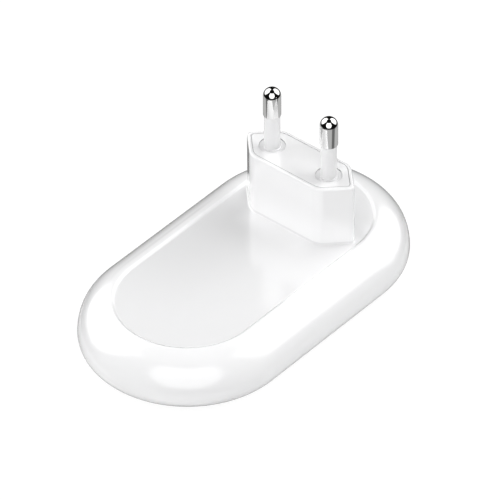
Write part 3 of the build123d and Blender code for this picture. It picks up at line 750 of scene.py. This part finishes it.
class NIGHTLIGHT_OT_rear_housing(bpy.types.Operator):
    """Back plate, rim and hollow plug block as one closed shell"""
    bl_idname = "nightlight.rear_housing"
    bl_label = "Rear housing"

    def execute(self, context):
        body = context.scene.lamp_body
        underside = body.plate_level - body.plate_wall
        piece = start_piece("rear_housing_shell", body.rim_radius, BODY_SEGMENTS,
                            (0, 0, body.widest_height - BAND))
        stretch_ends(body.half_spacing)
        raise_face(2 * BAND)
        follow(self.shoulder(body), 1)
        open_face()
        pick_underside(body.widest_height - BAND)
        follow(self.underside(body, underside), -1)
        open_face()
        self.plug_block(context.scene.lamp_plug, body, underside)
        fill_between(body.plate_level)
        fill_between(underside)
        reach = body.post_from_middle
        end = body.half_spacing + reach
        for place in ((0, end), (0, -end), (reach, 0), (-reach, 0)):
            self.board_post(body, place, underside)
        finish_piece(piece, "rear_housing", housing_finish())
        return {"FINISHED"}

    def shoulder(self, body):
        """From the widest line over the shoulder and crest down to the plate."""
        crest_radius = body.plate_radius + body.lip_width
        crest = body.plate_level + body.lip_height
        start = (body.rim_radius, body.widest_height + BAND)
        rise = bezier(start, (body.rim_radius, crest - body.shoulder_drop),
                      (crest_radius + body.crest_run, crest), (crest_radius, crest), 40)
        fall = bezier((crest_radius, crest),
                      (crest_radius - body.lip_width / 3, crest),
                      (body.plate_radius + body.lip_width / 3, body.plate_level),
                      (body.plate_radius, body.plate_level), 10)
        return [start] + rise + fall

    def underside(self, body, underside):
        """From the widest line round to the cover's seat, and up the cavity."""
        level = body.widest_height - BAND
        centre = body.rim_radius - body.front_round
        split = degrees(acos((body.seat_radius - centre) / body.front_round))
        points = [(body.rim_radius, level)]
        points += arc((centre, level), body.front_round, level, 0, -split, 12)
        gap = body.fit_gap
        groove_high = body.bead_low + body.bead_height
        cavity_start = (body.cavity_radius, groove_high + gap)
        points += [
            (body.seat_radius, body.seat_height),
            (body.cavity_radius, body.seat_height),
            (body.cavity_radius, body.bead_low - gap),
            (body.cavity_radius + body.bead, body.bead_low),
            (body.cavity_radius + body.bead, groove_high),
            cavity_start,
        ]
        shoulder = underside + body.lip_height - body.shoulder_drop
        return points + bezier(
            cavity_start, (body.cavity_radius, shoulder),
            (body.plate_radius + body.lip_width, underside),
            (body.plate_radius, underside), 16)

    def board_post(self, body, place, underside):
        """Post for the lamp board, rooted in the plate, with its screw hole."""
        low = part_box("led_board")[1].z
        hole_end = low + body.screw_depth
        root = underside + body.plate_wall / 4
        add_ring(POLE, POST_SEGMENTS, (*place, hole_end))
        turn([
            (POLE, hole_end),
            (body.screw_radius, hole_end),
            (body.screw_radius, low),
            (body.post_radius, low),
            (body.post_radius, root),
            (POLE, root),
        ], place)
        close_pole(hole_end, place)
        close_pole(root, place)

    def plug_block(self, plug, body, underside):
        """Hollow block on the plate: its outside, the cap's pocket and the inside."""
        foot = plug.foot_round
        top = plug.top_round
        pocket = plug.cap_inset - plug.cap_seam
        outside = [
            (0, body.plate_level),
            *arc((0, body.plate_level + foot), foot, foot, 270, 180, 8),
            (-foot, FACE_LEVEL - top),
            *arc((-foot - top, FACE_LEVEL - top), top, top, 0, 90, 12),
        ]
        pointed_face(-foot, plug.point_round + foot, plug.shoulder_round + foot,
                     body.plate_level)
        pick_level_faces(body.plate_level, 1)
        follow(outside, 1)
        open_face()
        pointed_face(pocket, plug.cap_point_round, plug.cap_shoulder_round, FACE_LEVEL)
        self.sink(FACE_LEVEL, CAP_LOW.z)
        pointed_face(plug.wall, plug.point_round / 2, plug.shoulder_round / 2, CAP_LOW.z)
        self.sink(CAP_LOW.z, underside)
        fill_between(FACE_LEVEL)
        fill_between(CAP_LOW.z)

    def sink(self, high, low):
        """Turn the one flat face at a height into an open well down to another height."""
        pick_level_faces(high, 1)
        follow([(0, high), (0, low)], 1)
        open_face()
        pick("FACE", lambda face: is_level(face, high))
        open_face()


class NIGHTLIGHT_OT_plug_cap(bpy.types.Operator):
    """Inset plate in the end of the block, with a sunk ring and a bore for each pin"""
    bl_idname = "nightlight.plug_cap"
    bl_label = "Plug cap"

    def execute(self, context):
        plug = context.scene.lamp_plug
        pins = context.scene.lamp_pins
        edge = plug.cap_edge
        piece = pointed_face(plug.cap_inset, plug.cap_point_round,
                             plug.cap_shoulder_round, CAP_LOW.z,
                             new_piece="plug_cap_plate")
        raise_face(FACE_LEVEL - edge - CAP_LOW.z)
        follow([(0, 0)] + arc((-edge, 0), edge, edge, 0, 90, 4), 1)
        open_face()
        pick("FACE", lambda face: is_level(face, CAP_LOW.z))
        open_face()
        for centre in PIN_PLACES.values():
            self.pocket(plug, pins, centre)
        fill_between(FACE_LEVEL)
        fill_between(CAP_LOW.z)
        finish_piece(piece, "plug_cap", cap_finish())
        return {"FINISHED"}

    def pocket(self, plug, pins, centre):
        """Sunk ring with a rounded edge, and the bore below it."""
        edge = plug.pocket_edge
        outer = plug.pocket_radius + edge
        add_ring(outer, PIN_SEGMENTS, (*centre, FACE_LEVEL))
        turn([
            (outer, FACE_LEVEL),
            *arc((outer, FACE_LEVEL - edge), edge, edge, 90, 180, 4),
            (plug.pocket_radius, FACE_LEVEL - plug.pocket_depth),
            (pins.sleeve_radius, FACE_LEVEL - plug.pocket_depth),
            (pins.sleeve_radius, CAP_LOW.z),
        ], centre)


class NIGHTLIGHT_OT_pins(bpy.types.Operator):
    """Both metal pins, each with its dome, shank, collar and tail"""
    bl_idname = "nightlight.pins"
    bl_label = "Pins"

    def execute(self, context):
        pins = context.scene.lamp_pins
        finish = pin_finish()
        for hand, centre in PIN_PLACES.items():
            self.pin(pins, centre, hand, finish)
        return {"FINISHED"}

    def pin(self, pins, centre, hand, finish):
        """One pin, turned from its tail up to the dome."""
        metal_foot = PIN_TIP - pins.metal_length
        dome_centre = PIN_TIP - pins.radius
        edge = pins.metal_edge
        collar_low = CAP_LOW.z - pins.collar_thickness
        piece = start_piece(f"pin_{hand}_turned", POLE, PIN_SEGMENTS,
                            (*centre, collar_low), fill="NOTHING")
        turn([
            (POLE, collar_low),
            (pins.collar_radius, collar_low),
            (pins.collar_radius, CAP_LOW.z),
            (pins.shank_radius, CAP_LOW.z),
            (pins.shank_radius, metal_foot),
            (pins.radius - edge, metal_foot),
            *arc((pins.radius - edge, metal_foot + edge), edge, edge, -90, 0, 4),
            (pins.radius, dome_centre),
            *arc((0, dome_centre), pins.radius, pins.radius, 0, 90, 24)[:-1],
            (POLE, PIN_TIP),
        ], centre)
        close_pole(PIN_TIP, centre)
        close_pole(collar_low, centre)
        self.tail(pins, centre, PIN_LOW.z, collar_low + pins.collar_thickness / 4)
        finish_piece(piece, f"pin_{hand}", finish, weighted=False)

    def tail(self, pins, centre, low, high):
        """Flat tail for the lead, rooted in the collar."""
        middle = (*centre, (low + high) / 2)
        bpy.ops.mesh.select_mode(type="EDGE")
        bpy.ops.mesh.select_all(action="DESELECT")
        bpy.ops.mesh.primitive_cube_add(size=1 * MM, location=middle)
        bpy.ops.transform.resize(
            value=(pins.tail_width / MM, pins.tail_thickness / MM, (high - low) / MM),
            center_override=middle)
        bpy.ops.mesh.bevel(affect="EDGES", offset=pins.tail_edge, segments=2)


class NIGHTLIGHT_OT_sleeves(bpy.types.Operator):
    """Insulating sleeves with a flared foot"""
    bl_idname = "nightlight.sleeves"
    bl_label = "Pin sleeves"

    def execute(self, context):
        pins = context.scene.lamp_pins
        finish = sleeve_finish()
        for hand, centre in PIN_PLACES.items():
            self.sleeve(context.scene.lamp_plug, pins, centre, hand, finish)
        return {"FINISHED"}

    def sleeve(self, plug, pins, centre, hand, finish):
        """One sleeve, turned as a closed ring."""
        top = PIN_TIP - pins.metal_length
        floor = FACE_LEVEL - plug.pocket_depth
        foot_top = floor + pins.foot_height
        flare_top = foot_top + pins.flare_height
        edge = pins.sleeve_edge
        middle = (pins.sleeve_radius, foot_top)
        piece = start_piece(f"sleeve_{hand}_moulded", pins.shank_radius, PIN_SEGMENTS,
                            (*centre, top), fill="NOTHING")
        turn([
            (pins.shank_radius, top),
            (pins.sleeve_radius - edge, top),
            *arc((pins.sleeve_radius - edge, top - edge), edge, edge, 90, 0, 3),
            (pins.sleeve_radius, flare_top),
            *bezier((pins.sleeve_radius, flare_top), middle, middle,
                    (pins.foot_radius, foot_top), 10),
            (pins.foot_radius, floor),
            (pins.sleeve_radius, floor),
            (pins.sleeve_radius, CAP_LOW.z),
            (pins.shank_radius, CAP_LOW.z),
            (pins.shank_radius, top),
        ], centre)
        finish_piece(piece, f"pin_sleeve_{hand}", finish)


class NIGHTLIGHT_OT_front_cover(bpy.types.Operator):
    """Milky front cover with its skirt and the hole for the sensor window"""
    bl_idname = "nightlight.front_cover"
    bl_label = "Front cover"

    def execute(self, context):
        body = context.scene.lamp_body
        edge_radius = DIFFUSER_HIGH.x
        skirt_radius = body.cavity_radius - body.fit_gap
        seat = body.seat_height - body.seat_gap
        lower = body.cover_edge
        piece = start_piece("front_cover_milky", edge_radius, BODY_SEGMENTS, (0, 0, lower))
        stretch_ends(body.half_spacing)
        raise_face(seat - lower)
        follow([
            (edge_radius, seat),
            (skirt_radius, seat),
            (skirt_radius, body.bead_low),
            (skirt_radius + body.bead, body.bead_low + body.bead_height / 3),
            (skirt_radius + body.bead, body.bead_low + body.bead_height * 2 / 3),
            (skirt_radius, body.bead_low + body.bead_height),
            (skirt_radius, DIFFUSER_HIGH.z),
            (skirt_radius - body.skirt_wall, DIFFUSER_HIGH.z),
            (skirt_radius - body.skirt_wall, body.cover_wall),
        ], 1)
        open_face()
        pick_underside(lower)
        follow(self.front_rounding(body, edge_radius, lower), -1)
        open_face()
        add_ring(body.window_radius, WINDOW_SEGMENTS, (0, 0, 0))
        extrude_up(body.cover_wall)
        fill_between(0)
        fill_between(body.cover_wall)
        finish_piece(piece, "front_diffuser", cover_finish())
        return {"FINISHED"}

    def front_rounding(self, body, edge_radius, lower):
        """From the cover's edge round to the flat front face."""
        centre = body.rim_radius - body.front_round
        height = body.widest_height
        first = acos((edge_radius - centre) / body.front_round)
        return [
            (edge_radius, lower),
            (edge_radius, height * (1 - sin(first))),
            *arc((centre, height), body.front_round, height, -degrees(first), -90, 12),
        ]


METAL = {"Metallic": 1.0}

# Plain inner parts: nodes, finish, colour, roughness, grain in millimetres, other inputs.
INNER_FINISHES = (
    (("sensor_window", "light_sensor"), "clear resin", (0.85, 0.87, 0.90), 0.05, 2,
     {"Transmission_Weight": 0.8, "IOR": 1.49}),
    (("bridge_rectifier", "driver_chip", "board_resistors"), "black epoxy",
     (0.02, 0.02, 0.022), 0.45, 0.15, {}),
    (("leds",), "white package", (0.80, 0.80, 0.78), 0.4, 0.2, {}),
    (("fuse_resistor", "bleed_resistor"), "blue-grey lacquer", (0.17, 0.33, 0.42), 0.3, 0.6,
     {}),
    (("sensor_tube",), "matt black", (0.012, 0.012, 0.012), 0.6, 0.3, {}),
    (("led_phosphors",), "phosphor", (0.85, 0.55, 0.08), 0.35, 0.1, {}),
    (("solder_joints",), "solder", (0.60, 0.60, 0.62), 0.25, 0.5, METAL),
    (("board_screws",), "zinc plate", (0.55, 0.56, 0.58), 0.28, 0.8, METAL),
    (("live_wire",), "brown insulation", (0.10, 0.035, 0.015), 0.4, 0.4, {}),
    (("neutral_wire",), "blue insulation", (0.02, 0.06, 0.30), 0.4, 0.4, {}),
    (("dropper_capacitor",), "yellow case", (0.75, 0.45, 0.02), 0.3, 1, {}),
    (("smoothing_capacitor",), "dark shrink sleeve", (0.02, 0.025, 0.05), 0.25, 1.5, {}),
    (("varistor",), "blue epoxy", (0.02, 0.08, 0.35), 0.35, 0.8, {}),
)


class NIGHTLIGHT_OT_inner_parts(bpy.types.Operator):
    """Finishes of the window and of everything inside the housing"""
    bl_idname = "nightlight.inner_parts"
    bl_label = "Inner parts"

    def execute(self, context):
        for nodes, name, base, roughness, grain, inputs in INNER_FINISHES:
            finish = moulded_finish(name, base, roughness, grain * MM, **inputs)
            for node in nodes:
                dress(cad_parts[node], finish)
        dress(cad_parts["led_board"], board_finish())
        return {"FINISHED"}


# ---- stage ----

# How soft the edges of the lights are, in the sine of the height or a cosine across.
PANEL_SIDE_SOFTNESS = 0.25
UPPER_SOFTNESS = 0.04
FLOOR_SOFTNESS = 0.06
FILL_SOFTNESS = 0.1

# How far round the lights reach, as the cosine of half their width, and how softly.
KEY_REACH = (0.7, 0.1)
SIDE_REACH = (0.5, 0.2)
FRONT_REACH = (0.5, 0.1)


class NIGHTLIGHT_OT_stage(bpy.types.Operator):
    """Camera, pale floor and soft studio light"""
    bl_idname = "nightlight.stage"
    bl_label = "Stage"

    def execute(self, context):
        stage = context.scene.lamp_stage
        context.scene.view_settings.view_transform = "Standard"
        self.camera(context, stage)
        self.floor(stage)
        self.world(context, stage)
        return {"FINISHED"}

    def camera(self, context, stage):
        """Camera at its measured place, turned by its roll."""
        body = context.scene.lamp_body
        back = Vector((sin(stage.azimuth) * cos(stage.elevation),
                       -cos(stage.azimuth) * cos(stage.elevation),
                       sin(stage.elevation)))
        level = Vector((cos(stage.azimuth), sin(stage.azimuth), 0))
        rise = back.cross(level)
        right = level * cos(stage.roll) + rise * sin(stage.roll)
        up = rise * cos(stage.roll) - level * sin(stage.roll)
        aim = Vector((0, stage.aim_y, body.plate_level))
        place = aim + back * stage.distance + right * stage.aim_right + up * stage.aim_up
        data = bpy.data.cameras.new("camera")
        data.sensor_width = SENSOR_WIDTH
        data.lens = SENSOR_WIDTH * stage.focal_pixels / FRAME_PIXELS
        data.clip_start = 10 * MM
        camera = bpy.data.objects.new("camera", data)
        context.scene.collection.objects.link(camera)
        turned = Matrix((right, up, back)).transposed().to_4x4()
        camera.matrix_world = Matrix.Translation(place) @ turned
        context.scene.camera = camera

    def floor(self, stage):
        """Large pale floor that shows as near white and keeps the lamp's shadow."""
        clear_selection()
        bpy.ops.mesh.primitive_plane_add(size=2 * stage.floor_half, location=(0, 0, 0))
        floor = bpy.context.object
        floor.name = "floor"
        cloth = Shader(bpy.data.materials.new("floor"), "ShaderNodeOutputMaterial")
        painted_light = cloth.node("ShaderNodeBsdfDiffuse", {}, {
            "Color": (*stage.floor_colour, 1)})[0]
        white = cloth.node("ShaderNodeEmission", {}, {"Strength": stage.floor_lift})[0]
        clear = cloth.node("ShaderNodeBsdfTransparent", {}, {})[0]
        seen = cloth.either("Is Camera Ray", "Is Transmission Ray")
        shown = cloth.node("ShaderNodeMixShader", {}, {
            0: seen * stage.floor_white, 1: painted_light, 2: white})[0]
        cloth.show(cloth.node("ShaderNodeMixShader", {}, {
            0: cloth.either("Is Glossy Ray"), 1: shown, 2: clear})[0])
        dress(floor, cloth)

    def world(self, context, stage):
        """Three broad soft panels round a dark room, and white where the camera looks."""
        studio = Shader(bpy.data.worlds.new("studio"), "ShaderNodeOutputWorld")
        context.scene.world = studio.owner
        x, y, z = studio.axes("Generated")
        azimuth = studio.node("ShaderNodeMath", {"operation": "ARCTAN2"}, {0: x, 1: 0 - y})[0]
        wave = ((azimuth - stage.panel_azimuth) * 3).cosine()
        panel = wave.above(cos(3 * stage.panel_half_width), PANEL_SIDE_SOFTNESS)
        diffuse = studio.either("Is Diffuse Ray")
        rise = z - (1 - wave) ** 2 * stage.panel_corner * (1 - diffuse)
        band = (rise.above(sin(stage.panel_low), stage.panel_softness)
                * (1 - z.above(sin(stage.panel_high), UPPER_SOFTNESS)))
        below = 1 - z.above(sin(stage.floor_edge), FLOOR_SOFTNESS)
        light = (stage.room + panel * band * (stage.panel_strength - stage.room)
                 + below * (stage.floor_gap + panel * (stage.floor_panel - stage.floor_gap)))
        light = light + diffuse * self.soft_light(stage, azimuth, z, band, panel)
        seen = studio.either("Is Camera Ray", "Is Transmission Ray")
        studio.show(studio.node("ShaderNodeBackground", {}, {
            "Color": (1, 1, 1, 1), "Strength": seen + (1 - seen) * light})[0])

    def soft_light(self, stage, azimuth, z, band, panel):
        """Light that only matt surfaces catch, more from some sides than from others."""
        fill = z.above(sin(stage.fill_low), FILL_SOFTNESS)
        high = z.within(sin(stage.key_low), FILL_SOFTNESS,
                        sin(stage.key_high), UPPER_SOFTNESS)
        key = (azimuth - stage.key_azimuth).cosine().above(*KEY_REACH)
        side = (azimuth - stage.side_azimuth).cosine().above(*SIDE_REACH)
        front = (azimuth - stage.panel_azimuth).cosine().above(*FRONT_REACH)
        cut = front * stage.front_cut + (1 - front) * (1 - high) * stage.back_cut
        return (fill * stage.fill + high * key * stage.key + band * side * stage.side
                - panel * band * cut)


class NIGHTLIGHT_PT_panel(bpy.types.Panel):
    """Lists the lamp's pieces and the sizes and colours that can be changed"""
    bl_idname = "NIGHTLIGHT_PT_panel"
    bl_label = "Night light"
    bl_space_type = "VIEW_3D"
    bl_region_type = "UI"
    bl_category = "Night light"

    def draw(self, context):
        layout = self.layout
        for operator in OPERATORS:
            layout.operator(operator.bl_idname)
        for group_name, group in GROUPS.items():
            box = layout.box()
            box.label(text=group.__doc__)
            values = getattr(context.scene, group_name)
            for name in group.__annotations__:
                box.prop(values, name, text=name.replace("_", " ").capitalize())


OPERATORS = (
    NIGHTLIGHT_OT_stage,
    NIGHTLIGHT_OT_rear_housing,
    NIGHTLIGHT_OT_plug_cap,
    NIGHTLIGHT_OT_pins,
    NIGHTLIGHT_OT_sleeves,
    NIGHTLIGHT_OT_front_cover,
    NIGHTLIGHT_OT_inner_parts,
)


CLASSES = (*GROUPS.values(), *OPERATORS, NIGHTLIGHT_PT_panel)


def register():
    for made in CLASSES:
        bpy.utils.register_class(made)
    for name, group in GROUPS.items():
        setattr(bpy.types.Scene, name, bpy.props.PointerProperty(type=group))


def unregister():
    for name in GROUPS:
        delattr(bpy.types.Scene, name)
    for made in reversed(CLASSES):
        bpy.utils.unregister_class(made)


def main():
    """Build the whole lamp."""
    register()
    for operator in OPERATORS:
        getattr(bpy.ops.nightlight, operator.bl_idname.split(".")[1])()
    clear_selection()


if __name__ == "__main__":
    main()
